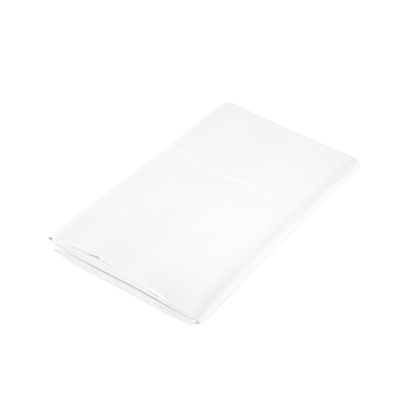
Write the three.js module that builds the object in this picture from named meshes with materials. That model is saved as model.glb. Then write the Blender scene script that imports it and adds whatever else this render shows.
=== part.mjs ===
// A plain woven cotton flat sheet, folded flat into a packet.
//
// The sheet is halved three times along its length, which gives a bundle of eight plies. That bundle is
// then halved three times across, like a book, which gives eight panels on eight levels. The solid is the
// bundle, as thick as its eight plies, carried along its back-and-forth section with the panels a little
// apart: four folds lie one inside the other at the spine, and three folds and the bundle's two free edges
// lie at the open side. All sizes are in millimetres. X runs from the open side to the spine, Y from the
// near end to the far end and Z up from the table.

import * as THREE from "three";

// ---------------------------------------------------------------------------------------------------------
// Driving dimensions
// ---------------------------------------------------------------------------------------------------------

const SHEET_WIDTH = 1500;
const SHEET_LENGTH = 2600;
const PANELS = 8;
const PACKET_WIDTH = SHEET_WIDTH / PANELS;
const PACKET_LENGTH = SHEET_LENGTH / PANELS;

// Places across and along the packet at which the tables give their values.
const ACROSS = { open: 4, rise: 62, middle: 113, shoulder: 150, spine: 178 };
const ALONG = { near: 0, front: 30, middle: 160, back: 285, far: 325 };

// The levels from the table up. thick: the bundle's thickness. under: the gap beneath it. near: how far its
// near end stands back from the packet's (less than nothing where it stands out). far: how much shorter it
// is at the far end. squeeze: how far it is pressed thin at the near corner beside the spine.
const LEVELS = [
  {
    thick: { open: 3.4, rise: 3.7, middle: 4.1, shoulder: 3.8, spine: 3.6 },
    under: { open: 0, spine: 0 },
    near: { open: -0.6, rise: -0.9, middle: -1.1, shoulder: -2.7, spine: -1.4 }, far: 0.5, squeeze: 0,
  },
  {
    thick: { open: 2.0, rise: 1.7, middle: 1.7, shoulder: 2.1, spine: 2.1 },
    under: { open: 1.0, spine: 0.5 },
    near: { open: -0.8, rise: -1.0, middle: -1.2, shoulder: -2.6, spine: -1.4 }, far: 1.4, squeeze: 0,
  },
  {
    thick: { open: 2.0, rise: 1.7, middle: 1.7, shoulder: 2.1, spine: 2.1 },
    under: { open: 0.5, spine: 0.5 },
    near: { open: -0.8, rise: -1.0, middle: -1.2, shoulder: -2.6, spine: -1.4 }, far: 0.5, squeeze: 0,
  },
  {
    thick: { open: 2.0, rise: 2.8, middle: 2.7, shoulder: 2.2, spine: 2.2 },
    under: { open: 0.6, rise: 1.1, middle: 1.2, shoulder: 1.3, spine: 0.8 },
    near: { open: -1.0, rise: -0.3, middle: -0.5, shoulder: -1.9, spine: -1.0 }, far: 2.0, squeeze: 0.2,
  },
  {
    thick: { open: 2.0, rise: 2.8, middle: 2.7, shoulder: 2.2, spine: 2.2 },
    under: { open: 0.5, spine: 0.8 },
    near: { open: -1.0, rise: -0.3, middle: -0.5, shoulder: -1.9, spine: -1.0 }, far: 0.6, squeeze: 0.2,
  },
  {
    thick: { open: 2.5, rise: 3.0, middle: 2.4, shoulder: 2.5, spine: 2.4 },
    under: { open: 0.6, spine: 0.6 },
    near: { open: -1.0, rise: -0.6, middle: -0.6, shoulder: -1.2, spine: -1.4 }, far: 1.8, squeeze: 0.25,
  },
  {
    thick: { open: 2.5, rise: 3.0, middle: 2.4, shoulder: 2.5, spine: 2.4 },
    under: { open: 0.5, spine: 0.5 },
    near: { open: -1.0, rise: -0.6, middle: -0.6, shoulder: -1.2, spine: -1.4 }, far: 1.0, squeeze: 0.25,
  },
  {
    thick: { open: 2.6, rise: 3.4, middle: 3.8, shoulder: 3.5, spine: 3.0 },
    under: { open: 0.5, spine: 0.6 },
    near: { open: -1.1, rise: 0, middle: -1.2, shoulder: -2.1, spine: -2.8 }, far: 0, squeeze: 0.1,
  },
];

// The panels in their order across the sheet. level: where the panel lies. side, tip and reach: which side
// the fold after it lies at, how far across the packet it reaches and the length of its curved part.
// lower, upper: 1 where that half of the fold is part of an ellipse, less where it is flatter. The last
// panel ends at the sheet's free edge.
const OPEN = -1;
const SPINE = 1;
const ROUTE = [
  {
    level: 2, side: SPINE, reach: 9, lower: 0.95, upper: 1,
    tip: { near: 187.6, front: 187, middle: 184.6, back: 183.4, far: 184.4 },
  },
  {
    level: 5, side: OPEN, reach: 2.7, lower: 1, upper: 1,
    tip: { near: -3.2, front: -3.8, middle: -4, back: -5, far: -2 },
  },
  {
    level: 6, side: SPINE, reach: 12, lower: 1, upper: 1,
    tip: { near: 191.2, front: 190.4, middle: 187.4, back: 186.2, far: 187.4 },
  },
  {
    level: 1, side: OPEN, reach: 3.1, lower: 1, upper: 1,
    tip: { near: -1.6, front: -1.2, middle: -1.6, back: -1.6, far: 0.6 },
  },
  {
    level: 0, side: SPINE, reach: 20, lower: 0.7, upper: 1,
    tip: { near: 197.2, front: 196.4, middle: 193.2, back: 191.8, far: 193.4 },
  },
  {
    level: 7, side: OPEN, reach: 6, lower: 0.95, upper: 0.95,
    tip: { near: -7.6, front: -9, middle: -8.8, back: -11.6, far: -6 },
  },
  {
    level: 4, side: SPINE, reach: 2.5, lower: 1, upper: 1,
    tip: { near: 183.4, front: 183, middle: 181, back: 179.8, far: 180.8 },
  },
  { level: 3 },
];
const FREE_EDGES = {
  first: { near: 0.6, front: 1.2, middle: 2, back: 2, far: 4 },
  last: { near: 3.6, front: 2, middle: 0, back: 0, far: 2 },
};

// How far the packet's far end stands back from its full length, and where the top level's near end steps
// back.
const FAR_LINE = { open: -5, rise: 1.9, middle: 3.7, shoulder: 4.9, spine: 3.9 };
const TOP_STEP = { place: 65.5, depth: 2.2, width: 15 };

// The stack settles from its full height at the near end to this share of it at the far end.
const FAR_HEIGHT = 0.84;
const SETTLED_BY = 300;

// The far end is cut askew to the near one; the skew is taken up over this much of the length.
const SKEWED_BY = 190;

// Near corner beside the spine: the squeeze fades over this length, and the corner droops by this share of
// its height, fading over the length after it.
const SQUEEZE_LENGTH = 55;
const DROOP = 0.13;
const DROOP_LENGTH = 26;

// The near end of the whole stack juts out this far beyond its line and stands this far off the table.
const JUT = 1.7;
const LIFT = 2.75;
const LIFT_LENGTH = 22;

// Each end of the bundle is a rounded nose: its thickness as a share of the full one, at distances from
// the end.
const NOSE = [
  { from: 0, share: 0.4 },
  { from: 0.6, share: 0.78 },
  { from: 2.2, share: 1 },
];
const STATIONS = [6, 14, 28, 58, 105, 160, 215, 265, 300, 315];

// Where every panel is creased into facets, and how finely a fold and the spine are cut into facets.
const FACET_PLACES = [20, 41, 62, 88, 113, 131, 150, 164];
const FOLD_STEPS = 8;
const SPINE_STEPS = 13;

// ---------------------------------------------------------------------------------------------------------
// Shape
// ---------------------------------------------------------------------------------------------------------

const ease = (t) => {
  const c = Math.min(Math.max(t, 0), 1);
  return c * c * (3 - 2 * c);
};
const mix = (a, b, t) => a + (b - a) * t;

// A table's value at a distance, eased from one of its named places to the next.
function tableValue(table, places, at) {
  const names = Object.keys(table);
  for (let i = 1; i < names.length; i++) {
    const from = places[names[i - 1]];
    const to = places[names[i]];
    if (at <= to || i === names.length - 1) {
      return mix(table[names[i - 1]], table[names[i]], ease((at - from) / (to - from)));
    }
  }
  return table[names[0]];
}
const acrossValue = (table, x) => tableValue(table, ACROSS, x);
const alongValue = (table, along) => tableValue(table, ALONG, along);

// How much of the full height the stack keeps at a distance along the packet.
const settle = (along) => mix(1, FAR_HEIGHT, ease(along / SETTLED_BY));

// A level's thickness and the height of its middle, at a place across and along the packet.
function levelAt(level, x, along) {
  const towardsSpine = ease((x - ACROSS.middle) / (ACROSS.spine - ACROSS.middle));
  const corner = towardsSpine * (1 - ease(along / SQUEEZE_LENGTH));
  let base = 0;
  let thick = 0;
  for (let i = 0; i <= level; i++) {
    base += thick + acrossValue(LEVELS[i].under, x);
    thick = acrossValue(LEVELS[i].thick, x) * (1 - LEVELS[i].squeeze * corner);
  }
  const share = settle(along) * (1 - DROOP * towardsSpine * (1 - ease(along / DROOP_LENGTH)));
  const lift = LIFT * (1 - ease(along / LIFT_LENGTH));
  return { thick: thick * share, middle: (base + thick / 2) * share + lift };
}

// Where the straight part of a panel starts next to a fold, and the fold's reach measured on its middle
// line.
function foldStart(fold, level, along) {
  const reach = fold.reach * settle(along);
  const x = alongValue(fold.tip, along) - fold.side * reach;
  const { thick } = levelAt(level, x, along);
  return { x, reach: fold.side * (reach - thick / 2) };
}

// The middle line of the bundle's section at one distance along the packet, from the first free edge to the
// last. Each point has its place across, its height, its thickness and the two levels it lies between.
function middleLine(along) {
  const line = [];
  ROUTE.forEach((panel, order) => {
    const before = ROUTE[order - 1];
    const startX = before ? foldStart(before, panel.level, along).x : alongValue(FREE_EDGES.first, along);
    const isLast = order === ROUTE.length - 1;
    const endX = isLast ? alongValue(FREE_EDGES.last, along) : foldStart(panel, panel.level, along).x;
    const places = startX < endX ? FACET_PLACES : FACET_PLACES.toReversed();
    for (const x of [startX, ...places, endX]) {
      const here = levelAt(panel.level, x, along);
      line.push({ x, z: here.middle, thick: here.thick, from: panel.level, to: panel.level, share: 0 });
    }
    if (isLast) return;
    const next = ROUTE[order + 1].level;
    const { x, reach } = foldStart(panel, panel.level, along);
    const a = levelAt(panel.level, x, along);
    const b = levelAt(next, x, along);
    const steps = Math.abs(next - panel.level) > 6 ? SPINE_STEPS : FOLD_STEPS;
    for (let i = 1; i < steps; i++) {
      const turn = (Math.PI * i) / steps;
      const isLower = Math.cos(turn) > 0 === panel.level < next;
      const square = isLower ? panel.lower : panel.upper;
      const out = Math.sin(turn) ** square;
      const share = (1 - Math.sign(Math.cos(turn)) * Math.abs(Math.cos(turn)) ** square) / 2;
      line.push({
        x: x + reach * out, z: mix(a.middle, b.middle, share), thick: mix(a.thick, b.thick, share),
        from: panel.level, to: next, share,
      });
    }
  });
  return line;
}

// The bundle's normal at a point of its middle line: upright on a panel, so that the lowest panel lies flat
// on the table, and square to the line through its neighbours on a fold.
function normalAt(line, i) {
  const a = line[Math.max(i - 1, 0)];
  const b = line[Math.min(i + 1, line.length - 1)];
  if (line[i].share === 0) return { x: 0, z: Math.sign(b.x - a.x) };
  const length = Math.hypot(b.x - a.x, b.z - a.z);
  return { x: -(b.z - a.z) / length, z: (b.x - a.x) / length };
}

// How far a level stands back at the near end and at the far end, at a place across the packet.
function nearShift(level, x) {
  const isStep = level === LEVELS.length - 1 && x < TOP_STEP.place;
  const back = isStep ? TOP_STEP.depth * ease(1 + (x - TOP_STEP.place) / TOP_STEP.width) : 0;
  return acrossValue(LEVELS[level].near, x) + back;
}
const farShift = (level, x) => acrossValue(FAR_LINE, x) + LEVELS[level].far;

// Where a point lies along Y. Each level (or the two levels a fold joins) has its own near and far ends,
// and the cloth is skewed from the one to the other over the near part of its length.
function placeAlong(point, along) {
  const shiftAt = (end) => mix(end(point.from, point.x), end(point.to, point.x), point.share);
  return along + mix(shiftAt(nearShift) - JUT, -shiftAt(farShift), ease(along / SKEWED_BY));
}

// The stations along the packet, with the share of the thickness each has: the noses close to both ends.
const stations = [
  ...NOSE.map(({ from, share }) => ({ along: from, share })),
  ...STATIONS.map((along) => ({ along, share: 1 })),
  ...NOSE.toReversed().map(({ from, share }) => ({ along: PACKET_LENGTH - from, share })),
];

// The solid: the middle line thickened both ways at every station, closed round all four edges.
function foldedSheetGeometry() {
  const positions = [];
  const rows = stations.map(({ along, share }) => {
    const line = middleLine(along);
    return line.map((point, i) => {
      const normal = normalAt(line, i);
      const half = (point.thick * share) / 2;
      const y = placeAlong(point, along);
      return [1, -1].map((face) => {
        positions.push(point.x + face * half * normal.x, y, Math.max(point.z + face * half * normal.z, 0));
        return positions.length / 3 - 1;
      });
    });
  });

  const triangles = [];
  const quad = (a, b, c, d) => triangles.push(a, b, c, a, c, d);
  const lastRow = rows.length - 1;
  const lastColumn = rows[0].length - 1;
  for (let r = 0; r < lastRow; r++) {
    for (let c = 0; c < lastColumn; c++) {
      const corners = [rows[r][c], rows[r][c + 1], rows[r + 1][c + 1], rows[r + 1][c]];
      quad(...corners.map((pair) => pair[0]));
      quad(...corners.map((pair) => pair[1]).reverse());
    }
  }
  for (let c = 0; c < lastColumn; c++) {
    quad(rows[0][c][1], rows[0][c + 1][1], rows[0][c + 1][0], rows[0][c][0]);
    quad(rows[lastRow][c][0], rows[lastRow][c + 1][0], rows[lastRow][c + 1][1], rows[lastRow][c][1]);
  }
  for (let r = 0; r < lastRow; r++) {
    quad(rows[r][0][0], rows[r + 1][0][0], rows[r + 1][0][1], rows[r][0][1]);
    const ends = [rows[r][lastColumn], rows[r + 1][lastColumn]];
    quad(ends[0][1], ends[1][1], ends[1][0], ends[0][0]);
  }

  const geometry = new THREE.BufferGeometry();
  geometry.setAttribute("position", new THREE.Float32BufferAttribute(positions, 3));
  geometry.setIndex(triangles);
  return geometry;
}

// ---------------------------------------------------------------------------------------------------------
// Object
// ---------------------------------------------------------------------------------------------------------

const cotton = new THREE.MeshStandardMaterial({ color: 0xf6f6f5, roughness: 0.85, metalness: 0 });

const geometry = foldedSheetGeometry();
geometry.computeBoundingBox();
const { min, max } = geometry.boundingBox;
geometry.translate(-(min.x + max.x) / 2, -(min.y + max.y) / 2, -min.z);
geometry.computeVertexNormals();

const sheet = new THREE.Mesh(geometry, cotton);
sheet.name = "sheet";

const foldedSheet = new THREE.Group();
foldedSheet.add(sheet);

export default foldedSheet;
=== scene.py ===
"""A plain woven cotton flat sheet, folded flat into a packet, on a pale table in soft studio light.

The sheet is halved three times along its length, which gives a bundle of eight plies. That bundle is then
halved three times across, which gives eight panels on eight levels. Four folds lie one inside the other at
the spine, and three folds and the bundle's two free edges lie at the open side.

The cloth is one sheet with its own thickness, carried through both sets of folds, so that every ply is there.
Tables are in millimetres, in the packet's own coordinates: X from the open side to the spine, Y from the near
end to the far end, Z up from the table. Meshes are in metres, in the frame's coordinates.
"""

import logging
import math
from collections.abc import Sequence
from dataclasses import astuple, dataclass, field, fields
from enum import Enum
from typing import ClassVar

import bpy
import numpy as np
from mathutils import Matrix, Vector
from numpy.typing import NDArray


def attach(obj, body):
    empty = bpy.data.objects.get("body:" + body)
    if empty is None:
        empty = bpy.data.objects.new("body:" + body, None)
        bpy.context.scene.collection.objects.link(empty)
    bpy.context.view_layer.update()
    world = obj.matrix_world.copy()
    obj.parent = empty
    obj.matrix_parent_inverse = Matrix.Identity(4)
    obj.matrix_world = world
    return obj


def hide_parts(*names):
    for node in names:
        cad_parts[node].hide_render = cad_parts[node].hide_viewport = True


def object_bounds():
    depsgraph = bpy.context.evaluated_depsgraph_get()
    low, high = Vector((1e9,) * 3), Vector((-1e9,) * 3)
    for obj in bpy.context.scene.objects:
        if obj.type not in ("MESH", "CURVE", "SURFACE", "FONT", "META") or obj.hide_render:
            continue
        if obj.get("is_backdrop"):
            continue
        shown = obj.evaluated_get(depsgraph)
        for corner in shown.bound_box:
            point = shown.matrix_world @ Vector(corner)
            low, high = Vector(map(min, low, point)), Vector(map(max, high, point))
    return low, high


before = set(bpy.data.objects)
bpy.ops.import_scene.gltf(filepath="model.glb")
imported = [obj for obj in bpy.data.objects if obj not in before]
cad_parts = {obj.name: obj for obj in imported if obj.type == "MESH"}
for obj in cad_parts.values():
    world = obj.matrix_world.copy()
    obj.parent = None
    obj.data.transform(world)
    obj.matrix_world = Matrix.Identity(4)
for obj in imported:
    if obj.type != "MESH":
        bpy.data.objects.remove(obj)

Grid = NDArray[np.float64]
Whole = NDArray[np.int64]
Colour = tuple[float, float, float, float]
Socket = bpy.types.NodeSocket

MM = 0.001
SHIFT = (-92.82, -162.75, 0.0)
BODY = "root"
CAD_NODE = "sheet"
WHITE: Colour = (1.0, 1.0, 1.0, 1.0)
TINY = 1e-12

log = logging.getLogger("folded_flat_sheet")


# ---- Small formulas ----


def metres(points: Grid) -> Grid:
    """Packet points in millimetres as frame points in metres, shifted so that the packet's middle is at 0."""
    return (points + np.array(SHIFT)) * MM


def ease(share: Grid) -> Grid:
    """Smooth step: three times the square less twice the cube of the share, held between 0 and 1."""
    held = np.clip(share, 0.0, 1.0)
    return held * held * (3.0 - 2.0 * held)


def fade(distance: Grid, length: float) -> Grid:
    """1 at no distance, eased down to 0 at the length."""
    return 1.0 - ease(distance / length)


def mix(first: Grid | float, last: Grid | float, share: Grid | float) -> Grid:
    """Straight line between two values: the first where the share is 0, the last where it is 1."""
    return first + (last - first) * share


def bell(distance: Grid, width: float) -> Grid:
    """A soft hump: e to the power of minus the square of the distance's share of the width."""
    return np.exp(-((distance / width) ** 2))


def unit(vectors: Grid) -> Grid:
    """The same directions with length 1."""
    return vectors / np.maximum(np.linalg.norm(vectors, axis=-1, keepdims=True), TINY)


def run_of(path: Grid) -> Grid:
    """How far along a line of points each point lies: the distances between neighbours added up."""
    return np.concatenate([[0.0], np.cumsum(np.linalg.norm(np.diff(path, axis=0), axis=-1))])


def eased_table(at: Grid, places: Sequence[float], values: Sequence[float]) -> Grid:
    """A short table read between its places: constant outside them, eased from one place to the next.

    Args:
        at: Where to read the table.
        places: The table's places, rising.
        values: The value at each place.

    Returns:
        The value at each point, in the shape of ``at``.
    """
    spots, held = np.asarray(places, float), np.asarray(values, float)
    index = np.clip(np.searchsorted(spots, at) - 1, 0, len(spots) - 2)
    share = (at - spots[index]) / (spots[index + 1] - spots[index])
    return mix(held[index], held[index + 1], ease(share))


def half_oval(count: int, first: float, last: float) -> tuple[Grid, Grid]:
    """Points along half an oval, without its two ends, at even turns from 0 to 180 degrees.

    Args:
        count: How many points there are.
        first, last: The powers of its halves: 1 for an ellipse, less for flatter sides.

    Returns:
        How far out each point is, the turn's sine to that power, and its share of the way from side to side,
        half of 1 less the turn's cosine to that power.
    """
    turn = np.pi * np.arange(1, count + 1) / (count + 1)
    power = np.where(np.cos(turn) > 0.0, first, last)
    side = np.sign(np.cos(turn)) * np.abs(np.cos(turn)) ** power
    return np.sin(turn) ** power, (1.0 - side) / 2.0


# ---- The bundle of plies and its way back and forth across the packet ----


class Side(Enum):
    """The packet's two long sides. The value is the direction across the packet that points out of it."""

    OPEN = -1
    SPINE = 1


class Table:
    """A value at five places, eased from one to the next: its fields are the values at PLACES."""

    PLACES: ClassVar[tuple[float, ...]]

    def at(self, where: Grid) -> Grid:
        """The value at distances across or along the packet."""
        return eased_table(where, self.PLACES, astuple(self))


@dataclass(frozen=True)
class Across(Table):
    """A value that changes across the packet."""

    PLACES: ClassVar[tuple[float, ...]] = (4.0, 62.0, 113.0, 150.0, 178.0)

    open: float
    rise: float
    middle: float
    shoulder: float
    spine: float


@dataclass(frozen=True)
class Along(Table):
    """A value that changes along the packet."""

    PLACES: ClassVar[tuple[float, ...]] = (0.0, 30.0, 160.0, 285.0, 325.0)

    near: float
    front: float
    middle: float
    back: float
    far: float


@dataclass(frozen=True)
class Level:
    """One level of the stack, counted from the table up.

    Attributes:
        thick, under: The bundle's thickness there and the gap beneath it.
        near, far: How far its two ends stand back from the packet's.
        squeeze: How far it is pressed thin at the near corner beside the spine.
        beneath, above: How squarely its near end is pressed against its neighbours, from 0 to 1.
    """

    thick: Across
    under: Across
    near: Across
    far: float
    squeeze: float
    beneath: float
    above: float


@dataclass(frozen=True)
class Step:
    """A short stretch across the packet where the near end of a level stands further back.

    Attributes:
        level: The level.
        place, depth: Where it stands furthest back, and how far.
        before, after: The widths over which it draws back and comes forward again, 0 for a sudden step.
    """

    level: int
    place: float
    depth: float
    before: float
    after: float

    def at(self, x: Grid) -> Grid:
        """How far back it stands at distances across the packet."""
        fall = fade(x - self.place, self.after) if self.after else 0.0
        return self.depth * np.where(x < self.place, fade(self.place - x, self.before), fall)


@dataclass(frozen=True)
class Fold:
    """A fold of the bundle.

    Attributes:
        side, tip: Its side of the packet, and how far across the packet it reaches.
        reach: The length of its curved part.
        square: The powers of its half oval's lower and upper half.
        columns: How many columns of the mesh it takes.
    """

    side: Side
    tip: Along
    reach: float
    square: tuple[float, float]
    columns: int


@dataclass(frozen=True)
class Panel:
    """One panel of the bundle: its level, how many columns of the mesh it takes, and the fold after it.

    The last panel has no fold after it and ends at the sheet's free edge.
    """

    level: int
    columns: int
    fold: Fold | None = None


@dataclass
class Section:
    """The bundle's middle line, one row of points for each column of the mesh.

    Attributes:
        x, z: Distance across the packet and height above the table.
        thick: The bundle's thickness.
        before, after: The levels that each column comes from and goes to, the same on a panel.
        share: How far it is from the one to the other.
        shows: 1 where the outermost ply is on the packet's outside, 0 where it is inside.
    """

    x: Grid
    z: Grid
    thick: Grid
    before: Whole
    after: Whole
    share: Grid
    shows: Grid


@dataclass
class Rows:
    """The mesh's rows, in their order along the sheet from its bottom edge to its top edge.

    Attributes:
        along: Distance along the packet.
        place: Where the row lies in the bundle's thickness, from -0.5 at its outer face to 0.5.
        outer: 1 on the outermost ply, falling to 0 on the loop that leads to it.
        press: How much further out it lies where the bundle's near end is pressed against the next one.
    """

    along: Grid
    place: Grid
    outer: Grid
    press: Grid


def joined(parts: Sequence[Section] | Sequence[Rows]) -> Section | Rows:
    """All parts end to end: each field is the parts' fields of that name, one after the other."""
    kind = type(parts[0])
    return kind(*(np.concatenate([getattr(part, one.name) for part in parts]) for one in fields(kind)))


NONE = Across(0.0, 0.0, 0.0, 0.0, 0.0)
TIGHT = Across(0.1, 0.1, 0.1, 0.1, 0.1)
LOW, LOW_END = Across(2.0, 2.05, 2.0, 2.4, 2.3), Across(-0.8, -1.0, -1.2, -2.6, -1.4)
MID, MID_END = Across(1.9, 3.0, 2.9, 2.4, 2.4), Across(-1.0, -0.3, -0.5, -1.9, -1.0)
HIGH, HIGH_END = Across(2.3, 3.3, 2.6, 2.7, 2.6), Across(-1.0, -0.6, -0.6, -1.2, -1.4)
BOTTOM, BOTTOM_END = Across(3.4, 3.7, 4.1, 3.8, 3.6), Across(-0.6, -0.9, -1.1, -2.7, -1.4)
TOP, TOP_END = Across(2.8, 3.6, 4.0, 3.6, 3.1), Across(-1.1, 0.0, -1.2, -2.1, -2.8)

LEVELS = (
    Level(BOTTOM, NONE, BOTTOM_END, far=0.5, squeeze=0.0, beneath=0.0, above=0.5),
    Level(LOW, Across(1.5, 0.4, 0.4, 0.5, 0.5), LOW_END, far=1.4, squeeze=0.1, beneath=0.5, above=1.0),
    Level(LOW, TIGHT, LOW_END, far=0.5, squeeze=0.15, beneath=1.0, above=0.0),
    Level(MID, Across(0.7, 1.3, 1.3, 1.3, 0.8), MID_END, far=2.0, squeeze=0.2, beneath=0.2, above=1.0),
    Level(MID, Across(0.9, 0.1, 0.1, 0.1, 0.1), MID_END, far=0.6, squeeze=0.2, beneath=1.0, above=0.5),
    Level(HIGH, Across(0.8, 0.4, 0.4, 0.4, 0.4), HIGH_END, far=1.8, squeeze=0.25, beneath=0.5, above=1.0),
    Level(HIGH, TIGHT, HIGH_END, far=1.0, squeeze=0.25, beneath=1.0, above=0.7),
    Level(TOP, Across(0.7, 0.3, 0.3, 0.3, 0.4), TOP_END, far=0.0, squeeze=0.2, beneath=0.7, above=0.0),
)

PANELS = (
    Panel(2, 9, Fold(Side.SPINE, Along(191.2, 188.6, 184.8, 183.6, 184.6), 9.0, (0.95, 1.0), 8)),
    Panel(5, 9, Fold(Side.OPEN, Along(-1.2, -2.8, -3.2, -4.2, -1.6), 2.7, (1.0, 1.0), 8)),
    Panel(6, 9, Fold(Side.SPINE, Along(193.6, 191.6, 187.6, 186.4, 187.6), 12.0, (1.0, 1.0), 10)),
    Panel(1, 9, Fold(Side.OPEN, Along(0.0, -0.8, -1.6, -1.6, 0.6), 3.4, (1.0, 1.0), 8)),
    Panel(0, 24, Fold(Side.SPINE, Along(197.2, 196.4, 193.2, 191.8, 193.4), 20.0, (0.7, 1.0), 26)),
    Panel(7, 60, Fold(Side.OPEN, Along(-7.9, -11.0, -11.2, -13.6, -11.2), 18.0, (1.0, 1.0), 14)),
    Panel(4, 9, Fold(Side.SPINE, Along(188.0, 185.4, 181.2, 180.0, 181.0), 2.6, (1.0, 1.0), 6)),
    Panel(3, 9),
)


@dataclass(frozen=True)
class Bundle:
    """The bundle of eight plies, folded back and forth across the packet.

    At any distance along the packet, each panel runs straight between its two folds on its own level, and
    each fold is half an oval between the levels that it joins.

    Attributes:
        levels, panels, length: The stack from the table up, the panels in order and the packet's length.
        first_edge, last_edge: Where the sheet's two free edges lie, from the open side's line.
        far_line: How far the packet's far end stands back from its full length.
        far_height, settled_by: The share of its height to which the stack settles, and where it has settled.
        skewed_by: The length over which the far end's skew is taken up.
        squeeze_length: The length over which the squeeze of the near corner fades.
        droop, droop_length: The share of its height by which that corner droops, and over what length.
        hang_places: Where the top panel's end begins to hang over the levels beneath, hangs fully, and stops.
        hang_down_to, hang_length: The lowest level that it hangs over, and the length it fades over.
        tuck, tuck_after: How far back the ends behind it stand, and how much further across that begins.
        tuck_until: Places across the packet between which those ends come forward again.
        roll, roll_from, roll_length: How much thinner its end is at the corner, where that begins and fades.
        jut: How far the near end of the whole stack juts out beyond its line.
        lift, lift_length: How far it stands off the table, and the length over which it comes down.
        steps: Where the near end of a level steps back.
    """

    levels: tuple[Level, ...] = LEVELS
    panels: tuple[Panel, ...] = PANELS
    length: float = 325.0
    first_edge: Along = Along(-1.8, 0.0, 2.0, 2.0, 4.0)
    last_edge: Along = Along(-1.4, 0.4, 0.0, 0.0, 2.0)
    far_line: Across = Across(-6.8, 1.9, 3.7, 4.9, 3.9)
    far_height: float = 0.84
    settled_by: float = 300.0
    skewed_by: float = 190.0
    squeeze_length: float = 55.0
    droop: float = 0.12
    droop_length: float = 26.0
    hang_places: tuple[float, float, float] = (126.0, 148.0, 190.0)
    hang_down_to: int = 5
    hang_length: float = 14.0
    tuck: float = 3.0
    tuck_after: float = 9.0
    tuck_until: tuple[float, float] = (170.0, 188.0)
    roll: float = 3.0
    roll_from: float = 138.0
    roll_length: float = 19.0
    jut: float = 1.7
    lift: float = 2.75
    lift_length: float = 22.0
    steps: tuple[Step, ...] = (
        Step(level=7, place=65.5, depth=2.2, before=15.0, after=0.0),
        Step(level=3, place=134.0, depth=2.8, before=5.0, after=7.0),
    )

    @property
    def top(self) -> int:
        """The top level's number."""
        return len(self.levels) - 1

    def settle(self, along: Grid) -> Grid:
        """How much of its full height the stack keeps at a distance along the packet."""
        return mix(1.0, self.far_height, ease(along / self.settled_by))

    def towards_spine(self, x: Grid, start: float = Across.PLACES[2]) -> Grid:
        """How far a place lies from the start towards the spine, eased from 0 to 1."""
        return ease((x - start) / (Across.PLACES[-1] - start))

    def hang(self, x: Grid) -> Grid:
        """How far down the top panel's end hangs at places across the packet, from 0 to 1."""
        start, full, stop = self.hang_places
        return ease((x - start) / (full - start)) * fade(x - full, stop - full)

    def level_at(self, level: int, x: Grid, along: Grid) -> tuple[Grid, Grid]:
        """Where a level's middle lies and how thick the bundle is there.

        The thicknesses and gaps of the levels beneath are added up, less the squeeze at the near corner. The
        sum settles towards the far end, and droops at that corner. The top panel is thicker where its end
        hangs over the levels beneath it, and thinner where it rolls over at the corner.

        Args:
            level: The level's number.
            x, along: Distances across the packet and along it, in shapes that go together.

        Returns:
            The height of the middle and the thickness.
        """
        corner = self.towards_spine(x) * fade(along, self.squeeze_length)
        hung = base = thick = np.zeros_like(x)
        for number, one in enumerate(self.levels[: level + 1]):
            base = base + thick + one.under.at(x)
            thick = one.thick.at(x) * (1.0 - one.squeeze * corner)
            hung = base if number == self.hang_down_to else hung
        if level == self.top:
            down = (base - hung) * self.hang(x) * fade(along, self.hang_length)
            rolled = self.roll * self.towards_spine(x, self.roll_from) * fade(along, self.roll_length)
            base, thick = base - down, thick + down - rolled
        droop = self.droop * self.towards_spine(x) * fade(along, self.droop_length)
        share = self.settle(along) * (1.0 - droop)
        return (base + thick / 2.0) * share + self.lift * fade(along, self.lift_length), thick * share

    def fold_start(self, fold: Fold, level: int, along: Grid) -> tuple[Grid, Grid]:
        """Where the straight part of a panel ends next to a fold.

        Args:
            fold: The fold.
            level: The panel's level.
            along: Distances along the packet.

        Returns:
            The place across the packet, and the fold's reach from there along the bundle's middle line.
        """
        reach = fold.reach * self.settle(along)
        x = fold.tip.at(along) - fold.side.value * reach
        thick = self.level_at(level, x, along)[1]
        return x, fold.side.value * (reach - thick / 2.0)

    def panel_part(self, order: int, along: Grid) -> Section:
        """A panel's columns, evenly spaced between the folds or the free edge at its ends.

        Args:
            order: The panel's number in its order across the sheet.
            along: The rows' distances along the packet.

        Returns:
            Its part of the section.
        """
        panel = self.panels[order]
        before = self.panels[order - 1].fold if order else None
        start = self.fold_start(before, panel.level, along)[0] if before else self.first_edge.at(along)
        end = self.fold_start(panel.fold, panel.level, along)[0] if panel.fold else self.last_edge.at(along)
        x = mix(start, end, np.linspace(0.0, 1.0, panel.columns)[:, None])
        level = np.full(panel.columns, panel.level)
        z, thick = self.level_at(panel.level, x, along)
        return Section(x, z, thick, level, level, 0.0 * level, np.isin(level, (0, self.top)) * 1.0)

    def fold_part(self, order: int, along: Grid) -> Section:
        """A fold's columns, along half an oval from the level of the panel before it to that of the next one.

        Args:
            order: The number of the panel before it.
            along: The rows' distances along the packet.

        Returns:
            Its part of the section.
        """
        level, after = (panel.level for panel in self.panels[order : order + 2])
        fold = self.panels[order].fold
        x, reach = self.fold_start(fold, level, along)
        out, share = half_oval(fold.columns, *(fold.square if level < after else fold.square[::-1]))
        ends = zip(self.level_at(level, x, along), self.level_at(after, x, along), strict=True)
        z, thick = (mix(first, last, share[:, None]) for first, last in ends)
        each = np.ones(fold.columns, int)
        shows = float(self.top in (level, after))
        return Section(x + reach * out[:, None], z, thick, level * each, after * each, share, shows * each)

    def section(self, along: Grid) -> Section:
        """The bundle's middle line at each of many distances along the packet.

        Args:
            along: The rows' distances along the packet.

        Returns:
            The section, columns by rows.
        """
        parts = []
        for order, panel in enumerate(self.panels):
            parts.append(self.panel_part(order, along))
            if panel.fold:
                parts.append(self.fold_part(order, along))
        return joined(parts)

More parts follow.
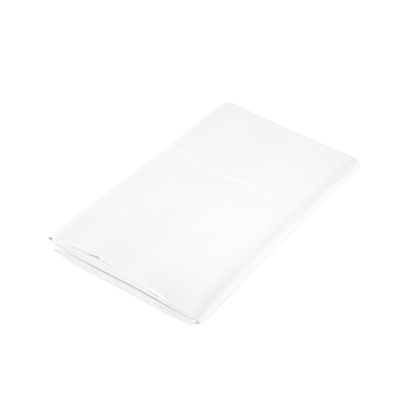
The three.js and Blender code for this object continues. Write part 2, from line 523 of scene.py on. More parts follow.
    def normals(self, line: Section) -> tuple[Grid, Grid]:
        """The bundle's normal, a quarter turn to the left of the way that its middle line runs.

        It is upright on a panel, so that the lowest one lies flat on the table, and square to the line
        through the neighbouring points on a fold.

        Args:
            line: The section.

        Returns:
            The normal's parts across the packet and upwards.
        """
        dx, dz = np.gradient(line.x, axis=0), np.gradient(line.z, axis=0)
        on_panel = (line.before == line.after)[:, None]
        length = np.maximum(np.hypot(dx, dz), TINY)
        return np.where(on_panel, 0.0, -dz / length), np.where(on_panel, np.sign(dx), dx / length)

    def end_shift(self, line: Section, each: Sequence[Grid]) -> Grid:
        """How far the section's points stand back at one end, mixed on a fold from its two levels."""
        held, column = np.stack(each), np.arange(len(line.before))
        return mix(held[line.before, column], held[line.after, column], line.share[:, None])

    def place_along(self, line: Section, along: Grid) -> Grid:
        """Where points lie along Y: moved by the near end's shifts, eased into those of the far end.

        Args:
            line: The section.
            along: The rows' distances along the packet.

        Returns:
            Y, columns by rows.
        """
        each = [level.near.at(line.x) for level in self.levels]
        for step in self.steps:
            each[step.level] = each[step.level] + step.at(line.x)
        start, full, _ = self.hang_places
        leave, gone = self.tuck_until
        tuck = self.tuck * ease((line.x - start - self.tuck_after) / (full - start))
        tuck = tuck * fade(line.x - leave, gone - leave)
        for level in range(self.hang_down_to, self.top):
            each[level] = each[level] + tuck
        near = self.end_shift(line, each) - self.jut
        far = self.end_shift(line, [self.far_line.at(line.x) + level.far for level in self.levels])
        return along + mix(near, -far, ease(along / self.skewed_by))


# ---- The plies' way back and forth along the packet ----


@dataclass(frozen=True)
class Hem:
    """The top hem: the cloth's edge turned in double and sewn down with one line of stitches.

    Attributes:
        depth: Distance from the sheet's edge to the line of stitches.
        ridge, ridge_width: How far the cloth stands up along the line, and the ridge's half width.
        extra, extra_length: How much thicker the cloth is inside the hem, and the length it grows over.
        sag_places, sag: How far the line is pulled towards the near end at places across the packet.
        sag_length: How far along the packet on either side the pull fades.
    """

    depth: float = 123.5
    ridge: float = 0.2
    ridge_width: float = 1.6
    extra: float = 0.1
    extra_length: float = 0.6
    sag_places: tuple[float, ...] = (4.0, 28.0, 57.0, 85.0, 112.0, 160.0, 184.0)
    sag: tuple[float, ...] = (-1.2, 2.4, 2.0, 2.4, 0.9, -0.8, 0.0)
    sag_length: float = 26.0

    def pull(self, x: Grid, from_line: Grid) -> Grid:
        """How far the cloth is pulled towards the near end: the sag across the packet times a hump along."""
        return eased_table(x, self.sag_places, self.sag) * bell(from_line, self.sag_length)


@dataclass(frozen=True)
class Plies:
    """The eight plies of the bundle and the seven loops that join them.

    Attributes:
        length, hem: The packet's length and the top hem.
        places: Where each ply lies, counted from the bundle's outer face, in their order along the sheet.
        nose, tip: How far from the near end its loops begin, and its outermost loop ends.
        step: How much each inner loop stands back from the one around it.
        far_tips: How far from the far end the free edge and each far loop's tip lie.
        near_rows, far_rows: How many rows each near loop has, from the outermost in, and each far loop.
        inner_rows: Where the rows of an inner ply lie.
        outer_gap, outer_near, outer_far: The spacing of the outermost ply's rows, and how far its first rows
            lie from the nose and its last ones from the far end.
        outer_ridge: Where its rows lie across the line of stitches, in half widths of the ridge.
        least_gap: The least length of cloth from one row to the next.
        square, pressed: The power of the loops' half ovals, and of a side pressed against the next bundle.
    """

    length: float
    hem: Hem
    places: tuple[int, ...] = (1, 6, 5, 2, 3, 4, 7, 0)
    nose: float = 2.4
    tip: float = 0.2
    step: float = 0.42
    far_tips: tuple[float, ...] = (1.6, 1.2, 2.4, 0.6)
    near_rows: tuple[int, ...] = (11, 4, 3, 3)
    far_rows: int = 4
    inner_rows: tuple[float, ...] = (2.4, 3.5, 5.2, 8.5, 24.0, 60.0, 110.0, 170.0, 240.0, 305.0, 321.0)
    outer_gap: float = 4.4
    outer_near: tuple[float, ...] = (0.0, 0.9, 2.0, 3.4, 5.2, 7.6, 10.6)
    outer_far: tuple[float, ...] = (9.0, 5.6, 3.4, 2.0, 1.0, 0.4, 0.0)
    outer_ridge: tuple[float, ...] = (-6, -3.6, -2.2, -1.5, -1, -0.5, 0, 0.5, 1, 1.5, 2.2, 3.6, 6)
    least_gap: float = 0.15
    square: float = 0.7
    pressed: float = 0.2

    def middle_of(self, place: int) -> float:
        """Where a ply lies in the bundle's thickness, from -0.5 to 0.5."""
        return (place + 0.5) / len(self.places) - 0.5

    def outer_rows(self) -> Grid:
        """Where the outermost ply's rows lie: close together at both ends and across the line of stitches.

        Returns:
            Distances along the packet.
        """
        near = self.nose + np.array(self.outer_near)
        ridge = self.length - self.hem.depth + self.hem.ridge_width * np.array(self.outer_ridge)
        far = self.length - np.array(self.outer_far)
        before, after = (
            np.linspace(start, end, int((end - start) / self.outer_gap) + 1)[1:-1]
            for start, end in ((near[-1], ridge[0]), (ridge[-1], far[0]))
        )
        return np.concatenate([near, before, ridge, after, far])

    def run(self, ply: int) -> Rows:
        """A ply's rows. Even plies run from the far end to the near one and odd plies back.

        Args:
            ply: The ply's number in its order along the sheet.

        Returns:
            Its rows, in their order along the sheet.
        """
        last = ply == len(self.places) - 1
        along = self.outer_rows() if last else np.array(self.inner_rows)
        if ply == 0:
            along = np.append(along, self.length - self.far_tips[0])
        if ply % 2 == 0:
            along = along[::-1]
        none = np.zeros(len(along))
        return Rows(along, none + self.middle_of(self.places[ply]), none + float(last), none)

    def loop(self, ply: int) -> Rows:
        """The rows of the loop that leads from a ply to the next one: half an oval.

        Near loops lie one inside the other. The last leads to the outermost ply and can be pressed square.

        Args:
            ply: The number of the ply that it comes from.

        Returns:
            Its rows, in their order along the sheet.
        """
        start, end = self.places[ply : ply + 2]
        if ply % 2 == 0:
            depth = min(start, end)
            base, count, tip = self.nose, self.near_rows[depth], self.tip + depth * self.step
        else:
            base, count = self.inner_rows[-1], self.far_rows
            tip = self.length - self.far_tips[(ply + 1) // 2]
        out, share = half_oval(count, self.square, self.square)
        outer = press = np.zeros(count)
        if ply == len(self.places) - 2:
            outer = ease(2.0 * np.linspace(0.0, 1.0, count + 2)[1:-1] - 1.0)
            press = (tip - base) * (half_oval(count, self.pressed, self.pressed)[0] - out)
        place = mix(self.middle_of(start), self.middle_of(end), share)
        return Rows(base + (tip - base) * out, place, outer, press)

    def rows(self) -> Rows:
        """All rows of the mesh: each ply's in turn, with the loop to the next one after it."""
        pairs = [(self.run(ply), self.loop(ply)) for ply in range(len(self.places) - 1)]
        return joined([*(part for pair in pairs for part in pair), self.run(len(self.places) - 1)])

    def cloth(self, along: Grid) -> Grid:
        """How far along the sheet the rows lie: their gaps added up, scaled to the sheet's length."""
        run = np.append(0.0, np.cumsum(np.maximum(np.abs(np.diff(along)), self.least_gap)))
        return run * (self.length * len(self.places)) / run[-1]


# ---- Finishes ----


class Nodes:
    """A node tree, with short ways to add nodes and link them."""

    def __init__(self, owner: bpy.types.Material | bpy.types.World) -> None:
        """Empties the node tree.

        Args:
            owner: The material or the surroundings whose tree it is.
        """
        owner.use_nodes = True
        self.tree = owner.node_tree
        self.tree.nodes.clear()

    def add(self, kind: str, inputs: dict | None = None, **settings: object) -> bpy.types.Node:
        """Adds a node.

        Args:
            kind: The node's type, without the word ShaderNode.
            inputs: Values or sockets for its inputs, by name or number.
            **settings: The node's own settings.

        Returns:
            The node.
        """
        node = self.tree.nodes.new("ShaderNode" + kind)
        for name, value in settings.items():
            setattr(node, name, value)
        for name, value in (inputs or {}).items():
            if isinstance(value, Socket):
                self.tree.links.new(value, node.inputs[name])
            else:
                node.inputs[name].default_value = value
        return node

    def math(self, operation: str, *values: object) -> Socket:
        """The result of a sum of up to three values or sockets."""
        return self.add("Math", dict(enumerate(values)), operation=operation).outputs[0]

    def noise(self, place: Socket, scale: float, detail: float) -> Socket:
        """Soft noise from 0 to 1."""
        return self.add("TexNoise", {"Vector": place, "Scale": scale, "Detail": detail}).outputs["Fac"]

    def blend(self, share: Socket, first: object, last: object) -> Socket:
        """A colour between two colours or sockets."""
        inputs = {"Factor": share, "A": first, "B": last}
        return self.add("Mix", inputs, data_type="RGBA", clamp_factor=True).outputs["Result"]

    def bump(self, height: Socket, relief: float, **settings: object) -> Socket:
        """A normal tilted by a height from 0 to 1 that stands for the relief, in metres."""
        return self.add("Bump", {"Height": height, "Distance": relief} | settings).outputs[0]


@dataclass(frozen=True)
class Fabric:
    """A rough finish with a soft sheen: how rough it is, its specular level and its sheen's weight."""

    rough: float
    gloss: float
    sheen: float

    def finish(self, nodes: Nodes, colour: Socket, normal: Socket) -> None:
        """Ends a material's tree with its shader and its output.

        Args:
            nodes: The tree.
            colour, normal: The colour and the normal that the shader gets.
        """
        look = {"Roughness": self.rough, "Specular IOR Level": self.gloss, "Sheen Weight": self.sheen}
        shader = nodes.add("BsdfPrincipled", {"Base Color": colour, "Normal": normal} | look)
        nodes.add("OutputMaterial", {"Surface": shader.outputs[0]})


@dataclass(frozen=True)
class CottonCloth(Fabric):
    """Plain woven white cotton, matt, with a faint sheen. Lengths are in metres.

    Attributes:
        seam, seam_highlight_width: Where along the cloth the line of stitches lies, and the half width of the
            painted highlight along it.
        seam_highlight_colour: The colour of that painted highlight, whiter than the cloth: it stands in for
            the light that the raised hem catches.
        seam_highlight_patch, seam_highlight_contrast: The scale of the highlight's unevenness, and its factor
        and shift.
        colour, dull: The cloth's colour and that of its slightly darker spots.
        contrast: The factor and shift that turn the noise into a share of the first.
        patch, slub: The scales of the dull patches and of the thicker stretches of thread, and their weights.
        pitch, thread: Distance between neighbouring threads, and how far they stand up.
        thread_strength: How strongly they show.
        crumple, crumple_relief: The scale and height of the soft unevenness of the pressed cloth.
    """

    rough: float = 0.86
    gloss: float = 0.25
    sheen: float = 0.12
    seam: float = 2.5
    seam_highlight_width: float = 0.0026
    seam_highlight_colour: Colour = (0.947, 0.945, 0.946, 1.0)
    seam_highlight_patch: float = 22.0
    seam_highlight_contrast: tuple[float, float] = (4.0, -0.9)
    colour: Colour = (0.910, 0.908, 0.909, 1.0)
    dull: Colour = (0.888, 0.886, 0.887, 1.0)
    contrast: tuple[float, float] = (2.2, -0.6)
    patch: tuple[float, float] = (9.0, 0.55)
    slub: tuple[float, float, float] = (700.0, 60.0, 0.45)
    pitch: float = 0.00036
    thread: float = 0.00003
    thread_strength: float = 0.6
    crumple: float = 55.0
    crumple_relief: float = 0.00012

    def material(self) -> bpy.types.Material:
        """Builds the material: a plain weave over and under along the cloth's own two directions.

        The weave is the sine of the one direction times the sine of the other. The share of the painted
        highlight's colour along the seam falls in a straight line from its middle to its half width, times
        the unevenness.

        Returns:
            The material.
        """
        made = bpy.data.materials.new("cotton_cloth")
        nodes = Nodes(made)
        place = nodes.add("TexCoord").outputs["Object"]
        cloth = nodes.add("UVMap", uv_map=FoldedSheet.CLOTH_MAP).outputs["UV"]
        parts = nodes.add("SeparateXYZ", {"Vector": cloth}).outputs
        turn = math.tau / (2.0 * self.pitch)
        warp, weft = (nodes.math("SINE", nodes.math("MULTIPLY", parts[axis], turn)) for axis in "XY")
        weave = nodes.math("MULTIPLY", warp, weft)

        threads = nodes.add("Mapping", {"Vector": cloth, "Scale": (*self.slub[:2], 1.0)}).outputs[0]
        slub = nodes.math("MULTIPLY", nodes.noise(threads, 1.0, 3.0), self.slub[2])
        patch = nodes.math("MULTIPLY", nodes.noise(place, self.patch[0], 2.0), self.patch[1])
        tone = nodes.math("MULTIPLY_ADD", nodes.math("ADD", slub, patch), *self.contrast)
        colour = nodes.blend(tone, self.dull, self.colour)

        # Painted highlight: a whiter band of colour along the line of stitches, in place of the light that
        # the raised hem catches.
        from_seam = nodes.math("ABSOLUTE", nodes.math("SUBTRACT", parts["Y"], self.seam))
        pressed = nodes.math("SUBTRACT", 1.0, nodes.math("DIVIDE", from_seam, self.seam_highlight_width))
        highlight_unevenness = nodes.math("MULTIPLY_ADD", nodes.noise(place, self.seam_highlight_patch, 1.0), *self.seam_highlight_contrast)
        pressed = nodes.math("MULTIPLY", nodes.math("MAXIMUM", pressed, 0.0), highlight_unevenness)
        colour = nodes.blend(pressed, colour, self.seam_highlight_colour)

        crumple = nodes.bump(nodes.noise(place, self.crumple, 3.0), self.crumple_relief, Strength=1.0)
        normal = nodes.bump(weave, self.thread, Strength=self.thread_strength, Normal=crumple)
        self.finish(nodes, colour, normal)
        return made


@dataclass(frozen=True)
class SewingThread(Fabric):
    """Twisted white sewing thread, a little brighter and glossier than the cloth. Lengths are in metres.

    Attributes:
        colour, groove: Its colour, and the darker colour of the painted shade in the grooves of its twist.
        turns, twist: How many grooves go round it, and the length of one turn.
        relief, strength: How deep the grooves are, and how strongly they show.
    """

    rough: float = 0.55
    gloss: float = 0.4
    sheen: float = 0.1
    colour: Colour = (0.975, 0.975, 0.973, 1.0)
    groove_shade: Colour = (0.94575, 0.94575, 0.94381, 1.0)
    turns: float = 2.0
    twist: float = 0.0005
    relief: float = 0.00004
    strength: float = 0.6

    def material(self) -> bpy.types.Material:
        """Builds the material: the twist is a slanting wave round each stitch, in the stitch's own map.

        Returns:
            The material.
        """
        made = bpy.data.materials.new("sewing_thread")
        nodes = Nodes(made)
        parts = nodes.add("SeparateXYZ", {"Vector": nodes.add("TexCoord").outputs["UV"]}).outputs
        along = nodes.math("MULTIPLY", parts["X"], math.tau / self.twist)
        wave = nodes.math("SINE", nodes.math("MULTIPLY_ADD", parts["Y"], math.tau * self.turns, along))
        normal = nodes.bump(wave, self.relief, Strength=self.strength)
        # Painted shade: the grooves of the twist get the darker colour, on top of the bump.
        colour = nodes.blend(nodes.math("MULTIPLY_ADD", wave, 0.5, 0.5), self.groove_shade, self.colour)
        self.finish(nodes, colour, normal)
        return made


@dataclass(frozen=True)
class PaleTable:
    """The table: a matt white surface that the camera sees as plain white, with the object's shadow kept.

    Attributes:
        colour, glow: Its colour in the light, and how much white the camera and gloss see on top of it.
    """

    colour: Colour = (0.98, 0.98, 0.98, 1.0)
    glow: float = 0.28

    def material(self) -> bpy.types.Material:
        """Builds the material: lit matt white plus the glow.

        Returns:
            The material.
        """
        made = bpy.data.materials.new("pale_table")
        nodes = Nodes(made)
        rays = nodes.add("LightPath").outputs
        seen = nodes.math("MAXIMUM", rays["Is Camera Ray"], rays["Is Glossy Ray"])
        seen = nodes.math("MAXIMUM", seen, rays["Is Transmission Ray"])
        glow = nodes.add("Emission", {"Color": WHITE, "Strength": nodes.math("MULTIPLY", seen, self.glow)})
        lit = nodes.add("BsdfDiffuse", {"Color": self.colour})
        both = nodes.add("AddShader", {0: lit.outputs[0], 1: glow.outputs[0]})
        nodes.add("OutputMaterial", {"Surface": both.outputs[0]})
        return made


# ---- Meshes ----


def grid_quads(rows: int, columns: int, closed: bool = False) -> Whole:
    """Four-cornered faces of a grid of points held row by row.

    Args:
        rows, columns: How many rows of points there are, and how many points each has.
        closed: Whether each row's last point joins its first.

    Returns:
        The faces' corners, one face a row.
    """
    across = columns if closed else columns - 1
    row, column = np.meshgrid(np.arange(rows - 1), np.arange(across), indexing="ij")
    here, after = row * columns + column, row * columns + (column + 1) % columns
    return np.stack([here, after, after + columns, here + columns], axis=-1).reshape(-1, 4)


def mesh_object(name: str, points: Grid, faces: Whole, flat_from: int | None = None) -> bpy.types.Object:
    """A mesh object at the origin, smooth but for its last faces.

    Args:
        name: The object's name.
        points, faces: Its points, in metres, in the frame's coordinates, and its faces' four corners.
        flat_from: The number of the first face that stays flat.

    Returns:
        The object, linked to the scene.
    """
    mesh = bpy.data.meshes.new(name)
    mesh.vertices.add(len(points))
    mesh.vertices.foreach_set("co", points.astype(np.float32).ravel())
    mesh.loops.add(faces.size)
    mesh.loops.foreach_set("vertex_index", faces.astype(np.int32).ravel())
    mesh.polygons.add(len(faces))
    mesh.polygons.foreach_set("loop_start", np.arange(0, faces.size, faces.shape[1], dtype=np.int32))
    smooth = np.ones(len(faces), bool)
    if flat_from is not None:
        smooth[flat_from:] = False
    mesh.polygons.foreach_set("use_smooth", smooth)
    mesh.update(calc_edges=True)
    mesh.validate()
    made = bpy.data.objects.new(name, mesh)
    bpy.context.scene.collection.objects.link(made)
    return made


def add_map(made: bpy.types.Object, name: str, places: Grid, faces: Whole) -> None:
    """Gives a mesh a map from two numbers for each of its points."""
    layer = made.data.uv_layers.new(name=name)
    layer.uv.foreach_set("vector", places.reshape(-1, 2)[faces.ravel()].astype(np.float32).ravel())


@dataclass(frozen=True)
class Swell:
    """A soft rise of the top panel's outermost ply: its middle, half width, half length, turn and height.

    Its length is turned from the packet's length by the turn, in degrees.
    """

    x: float
    y: float
    width: float
    length: float
    turn: float
    height: float

    def at(self, x: Grid, y: Grid) -> Grid:
        """Its height at places on the packet: a hump across its width times a hump along its length."""
        turned = (x - self.x + 1j * (y - self.y)) * np.exp(-1j * math.radians(self.turn))
        return self.height * bell(turned.real, self.width) * bell(turned.imag, self.length)


@dataclass
class FoldedSheet:
    """The sheet: one closed mesh of thin cloth, carried through the plies' loops and the bundle's folds.

    Attributes:
        bundle, hem: The bundle's way across the packet, and the top hem.
        flat: The sheet's width and length, laid out flat.
        ply, ply_share: The cloth's thickness, and the most of a ply's room in the bundle that it may fill.
        wander, wander_lengths: How unevenly the free edges lie, and the lengths of the two waves that do it.
        wander_shares: How far the columns at and next to a free edge follow it.
        swells: The soft rises of the top panel.
        swell_start, swell_stop: Where across the packet they begin and end, and over what width.
    """

    CLOTH_MAP: ClassVar[str] = "cloth"
    BAKE_MAP: ClassVar[str] = "OFBake"

    bundle: Bundle = field(default_factory=Bundle)
    hem: Hem = field(default_factory=Hem)
    flat: tuple[float, float] = (1500.0, 2600.0)
    ply: float = 0.2
    ply_share: float = 0.7
    wander: float = 0.7
    wander_lengths: tuple[float, float] = (61.0, 23.0)
    wander_shares: tuple[float, ...] = (1.0, 0.15)
    swells: tuple[Swell, ...] = (
        Swell(10.0, 95.0, 20.0, 70.0, 0.0, 0.6),
        Swell(66.0, 60.0, 22.0, 70.0, 0.0, 0.4),
        Swell(126.0, 130.0, 14.0, 110.0, -2.0, 0.7),
        Swell(168.0, 110.0, 8.0, 70.0, 0.0, 0.4),
        Swell(82.0, 262.0, 10.0, 60.0, -42.0, 0.7),
        Swell(38.0, 258.0, 9.0, 46.0, -36.0, 0.5),
        Swell(132.0, 280.0, 10.0, 44.0, -34.0, 0.6),
        Swell(150.0, 236.0, 8.0, 26.0, -40.0, 0.4),
    )
    swell_start: tuple[float, float] = (4.0, 30.0)
    swell_stop: tuple[float, float] = (184.0, 14.0)

    def __post_init__(self) -> None:
        """Works out the rows, the section and the cloth's middle surface."""
        plies = Plies(self.bundle.length, self.hem)
        self.rows = plies.rows()
        self.cloth = plies.cloth(self.rows.along)
        self.room = 1.0 / len(plies.places)
        self.from_line = self.rows.along - (self.bundle.length - self.hem.depth)
        self.line = self.bundle.section(self.rows.along)
        self.middle, self.side = self.middle_surface()

    def middle_surface(self) -> tuple[Grid, Grid]:
        """The surface halfway through the cloth.

        A point is the bundle's middle line at its column, moved along the bundle's normal by its place in the
        thickness, with the outermost ply's own relief added on its outside.

        Returns:
            The points and their unit normals, columns by rows by three. The normals point away from the
            bundle's outer face.
        """
        line, rows = self.line, self.rows
        normal_x, normal_z = self.bundle.normals(line)
        y = self.bundle.place_along(line, rows.along) - self.hem.pull(line.x, self.from_line)
        pressed = np.array([(level.beneath, level.above) for level in self.bundle.levels])[line.before]
        share = np.where(rows.place * normal_z > 0.0, pressed[:, 1, None], pressed[:, 0, None])
        y = y + rows.press * np.where((line.before == line.after)[:, None], share, 0.0)
        offset = line.thick * rows.place - self.relief(line.x, y) * rows.outer
        inset = self.free_edge_share()[:, None] * self.edge_wander()
        points = np.stack([line.x + offset * normal_x + inset, y, line.z + offset * normal_z], axis=-1)
        return points, unit(np.cross(np.gradient(points, axis=0), np.gradient(points, axis=1)))

    def edge_wander(self) -> Grid:
        """How far a free edge stands in: the sine of one wave along it times the cosine of the other."""
        first, last = self.wander_lengths
        return self.wander * np.sin(self.cloth / first) * np.cos(self.cloth / last)

    def free_edge_share(self) -> Grid:
        """How far each column follows the unevenness of the free edge that it lies near, from 0 to 1."""
        order, shares = np.arange(len(self.line.before)), np.append(self.wander_shares, 0.0)
        return shares[np.minimum(np.minimum(order, order[::-1]), len(self.wander_shares))]

    def relief(self, x: Grid, y: Grid) -> Grid:
        """How far the outermost ply stands off the next one.

        Args:
            x, y: Distances across the packet and along it.

        Returns:
            The top panel's soft rises plus the ridge along the line of stitches, where the ply shows.
        """
        on_top = ((self.line.before == self.bundle.top) & (self.line.after == self.bundle.top))[:, None]
        (start, rise), (stop, fall) = self.swell_start, self.swell_stop
        edge = ease((x - start) / rise) * ease((stop - x) / fall)
        soft = sum(swell.at(x, y) for swell in self.swells) * edge * on_top
        return soft + self.hem.ridge * bell(self.from_line, self.hem.ridge_width) * self.line.shows[:, None]

    def thickness(self) -> Grid:
        """The cloth's thickness: more inside the hem, and a share of its room in the bundle at most."""
        inside = ease((self.cloth - (self.flat[1] - self.hem.depth)) / self.hem.extra_length)
        return np.minimum(self.ply + self.hem.extra * inside, self.ply_share * self.line.thick * self.room)

    def build(self) -> bpy.types.Object:
        """Makes the mesh: both faces of the cloth and the narrow rim that joins them all round.

        Returns:
            The sheet's object, with the cloth's own map in metres, and a map from 0 to 1 in which each face
            of the cloth has one half.
        """
        half = self.thickness()[..., None] / 2.0
        columns, rows = self.middle.shape[:2]
        count = columns * rows
        points = np.stack([self.middle - half * self.side, self.middle + half * self.side]).reshape(-1, 3)
        points[:, 2] = np.maximum(points[:, 2], 0.0)

        face = grid_quads(columns, rows)
        number = np.arange(count).reshape(columns, rows)
        rim = [
            np.stack([edge[:-1] + count, edge[1:] + count, edge[1:], edge[:-1]], axis=-1)
            for edge in (number[0], number[:, -1], number[-1, ::-1], number[::-1, 0])
        ]
        faces = np.concatenate([face, face[:, [0, 3, 2, 1]] + count, *rim])
        sheet = mesh_object("sheet_cloth", metres(points), faces, 2 * len(face))

        run = run_of(self.middle[:, rows // 2])
        share = np.stack(np.meshgrid(run / run[-1], self.cloth / self.flat[1], indexing="ij"), axis=-1)
        add_map(sheet, self.CLOTH_MAP, np.stack([share * self.flat * MM] * 2), faces)
        half_map = share * (0.5, 1.0)
        add_map(sheet, self.BAKE_MAP, np.stack([half_map, half_map + (0.5, 0.0)]), faces)
        return sheet

    def hem_run(self) -> tuple[Grid, Grid]:
        """The line of stitches on the outermost ply's outer face, where that face is on the packet's outside.

        Returns:
            The points along the line and the directions that point out of the cloth.
        """
        row = int(np.argmin(np.where(self.rows.outer < 1.0, np.inf, np.abs(self.from_line))))
        seen = self.line.shows > 0.0
        half = self.thickness()[seen, row, None] / 2.0
        return self.middle[seen, row] - half * self.side[seen, row], -self.side[seen, row]


@dataclass
class HemStitches:
    """The hem's line of machine stitches, each a short length of thread that dips into the cloth at its ends.

    Attributes:
        sheet: The sheet that they are sewn into.
        spacing, length: Distance from one stitch to the next, and the length of thread that shows.
        radius, flatness: The thread's radius, and how high it stands for its width.
        blunt, sink: At a stitch's ends, the share of the radius that is left and the share that sinks.
        rings, sides: How many rings of points a stitch has, and how many points a ring has, an even number.
    """

    sheet: FoldedSheet
    spacing: float = 2.6
    length: float = 2.5
    radius: float = 0.62
    flatness: float = 0.5
    blunt: float = 0.12
    sink: float = 0.25
    rings: int = 7
    sides: int = 6

    def build(self) -> bpy.types.Object:
        """Makes all stitches as one mesh.

        A stitch is a tube, flattened against the cloth and half sunk in it. Its radius follows half a rounded
        oval along its length: the square root of 1 less the fourth power of the distance from its middle.

        Returns:
            The stitches' object.
        """
        path, out = self.sheet.hem_run()
        run = run_of(path)
        count = int((run[-1] - self.length) / self.spacing)
        share = np.linspace(0.0, 1.0, self.rings)
        at = (np.arange(count)[:, None] + 0.5) * self.spacing + share * self.length
        lines = ([np.interp(at, run, part) for part in line.T] for line in (path, out))
        centre, up = (np.stack(line, axis=-1) for line in lines)
        up = unit(up)[:, :, None]
        beside = unit(np.cross(up[:, :, 0], unit(np.gradient(centre, axis=1))))[:, :, None]
        oval = np.maximum(np.sqrt(np.maximum(1.0 - (2.0 * share - 1.0) ** 4, 0.0)), self.blunt)[:, None, None]
        turn = math.tau * np.arange(self.sides) / self.sides
        ring = np.cos(turn)[:, None] * beside + self.flatness * np.sin(turn)[:, None] * up
        lift = self.sink * self.flatness * self.radius * (oval - 1.0) * up
        points = centre[:, :, None] + self.radius * oval * ring + lift
        points[..., 2] = np.maximum(points[..., 2], 0.0)

        body = grid_quads(self.rings, self.sides, closed=True)[:, ::-1]
        first = np.array([[0, side, side + 1, side + 2] for side in range(1, self.sides - 2, 2)])
        last = (first + (self.rings - 1) * self.sides)[:, ::-1]
        one = np.concatenate([body, first, last])
        faces = (one + self.rings * self.sides * np.arange(count)[:, None, None]).reshape(-1, 4)
        made = mesh_object("hem_stitches", metres(points.reshape(-1, 3)), faces)
        places = np.broadcast_arrays(at[:, :, None] * MM, turn / math.tau)
        add_map(made, "thread", np.stack(places, axis=-1), faces)
        return made


# ---- Studio ----


def aimed(data: bpy.types.ID, aim: Grid, angles: tuple[float, float], distance: float) -> bpy.types.Object:
    """A lamp or camera that points at a place.

    Args:
        data: The lamp or camera.
        aim: The place, in metres.
        angles: Its azimuth from there, in degrees from X towards Y, and its elevation.
        distance: Its distance from there, in metres.

    Returns:
        Its object, linked to the scene.
    """
    turn, rise = (math.radians(angle) for angle in angles)
    away = Vector((math.cos(turn) * math.cos(rise), math.sin(turn) * math.cos(rise), math.sin(rise)))
    made = bpy.data.objects.new(data.name, data)
    made.location = Vector(aim) + away * distance
    made.rotation_euler = away.to_track_quat("Z", "Y").to_euler()
    bpy.context.scene.collection.objects.link(made)
    return made


@dataclass(frozen=True)
class Softbox:
    """A square soft lamp. Lengths are in metres.

    Attributes:
        name: Its name, after the word softbox.
        azimuth, elevation: Its direction from what it lights, in degrees from X towards Y and upwards.
        strength: How bright a plain white surface that faces it becomes, 1 for white.
        distance, size: Its distance and its width.
        aim: What it lights.
    """

    name: str
    azimuth: float
    elevation: float
    strength: float
    distance: float = 3.0
    size: float = 1.2
    aim: tuple[float, float, float] = (0.0, 0.0, 0.0)

    def build(self) -> None:
        """Makes the lamp. Its power is its strength times the square of pi and of its distance."""
        lamp = bpy.data.lights.new("softbox_" + self.name, "AREA")
        lamp.shape = "SQUARE"
        lamp.size = self.size
        lamp.energy = self.strength * (math.pi * self.distance) ** 2
        aimed(lamp, np.array(self.aim), (self.azimuth, self.elevation), self.distance)


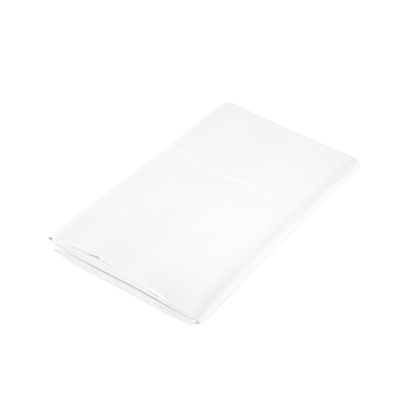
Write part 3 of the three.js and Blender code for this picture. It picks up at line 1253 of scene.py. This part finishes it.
@dataclass(frozen=True)
class Studio:
    """The table, the soft light and the camera.

    Attributes:
        floor_size: The table's width, in metres.
        horizon, above: How bright the surroundings are near the horizon and overhead.
        horizon_top, above_from: The sines of the heights up to and from which they are that bright.
        lamps: The soft lamps.
        azimuth, elevation: The camera's direction from what it looks at, in degrees as a lamp's.
        distance: Its distance from there, in metres.
        lens, sensor: Its focal length and its sensor's width, in millimetres.
        aim: What it looks at, in the packet's own millimetres.
    """

    floor_size: float = 1.4
    horizon: float = 0.744
    above: float = 0.29
    horizon_top: float = 0.6
    above_from: float = 0.894
    lamps: tuple[Softbox, ...] = (
        Softbox("near_left", -135.0, 15.0, 0.33),
        Softbox("far_right", 45.0, 26.0, 0.30),
        Softbox("left", 180.0, 26.0, 0.26),
        Softbox("far_left", 135.0, 12.0, 0.095),
        Softbox("right", 0.0, 7.0, 0.07),
        Softbox("near", -100.0, 10.0, 0.065),
        Softbox("overhead", -40.0, 72.0, 0.21, distance=0.34, size=0.2, aim=(0.055, 0.025, 0.02)),
    )
    azimuth: float = -53.73
    elevation: float = 38.17
    distance: float = 1.2285
    lens: float = 98.08
    sensor: float = 36.0
    aim: tuple[float, float, float] = (80.85, 154.13, 12.72)

    def floor(self) -> None:
        """Makes the table and marks it as stage."""
        corners = np.array([[-0.5, -0.5, 0.0], [0.5, -0.5, 0.0], [0.5, 0.5, 0.0], [-0.5, 0.5, 0.0]])
        made = mesh_object("table", self.floor_size * corners, np.array([[0, 1, 2, 3]]))
        made.data.materials.append(PaleTable().material())
        made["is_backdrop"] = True

    def world(self) -> None:
        """Makes the surroundings: bright near the horizon, darker above, and plain white to the camera."""
        world = bpy.data.worlds.new("studio")
        nodes = Nodes(world)
        parts = nodes.add("SeparateXYZ", {0: nodes.add("TexCoord").outputs["Generated"]}).outputs
        span = {"From Min": self.horizon_top, "From Max": self.above_from}
        span |= {"To Min": self.horizon, "To Max": self.above, "Value": parts["Z"]}
        height = nodes.add("MapRange", span, interpolation_type="SMOOTHSTEP")
        seen = nodes.add("LightPath").outputs["Is Camera Ray"]
        bright = nodes.add("Mix", {"Factor": seen, "A": height.outputs["Result"], "B": 1.0}).outputs["Result"]
        light = nodes.add("Background", {"Color": WHITE, "Strength": bright})
        nodes.add("OutputWorld", {"Surface": light.outputs[0]})
        bpy.context.scene.world = world

    def camera(self) -> None:
        """Makes the camera, on a line from what it looks at."""
        camera = bpy.data.cameras.new("camera")
        camera.lens = self.lens
        camera.sensor_width = self.sensor
        angles = (self.azimuth, self.elevation)
        bpy.context.scene.camera = aimed(camera, metres(np.array(self.aim)), angles, self.distance)

    def build(self) -> None:
        """Makes the whole studio."""
        self.floor()
        self.world()
        self.camera()
        for lamp in self.lamps:
            lamp.build()
        bpy.context.scene.view_settings.view_transform = "Standard"


# ---- The whole scene ----


def report(piece: bpy.types.Object) -> None:
    """Logs a piece's size and how many faces it has."""
    size = ", ".join(f"{side / MM:.1f}" for side in piece.dimensions)
    log.info("%s: %s mm, %d faces", piece.name, size, len(piece.data.polygons))


def main(before: tuple[Vector, Vector]) -> None:
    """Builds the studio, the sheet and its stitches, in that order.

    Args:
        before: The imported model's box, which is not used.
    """
    logging.basicConfig(level=logging.INFO, format="%(name)s: %(message)s")
    Studio().build()

    sheet = FoldedSheet()
    cloth = sheet.build()
    cloth.data.materials.append(CottonCloth(seam=(sheet.flat[1] - sheet.hem.depth) * MM).material())
    stitches = HemStitches(sheet).build()
    stitches.data.materials.append(SewingThread().material())
    for piece in (cloth, stitches):
        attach(piece, BODY)
        report(piece)
    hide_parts(CAD_NODE)


if __name__ == "__main__":
    main(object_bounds())
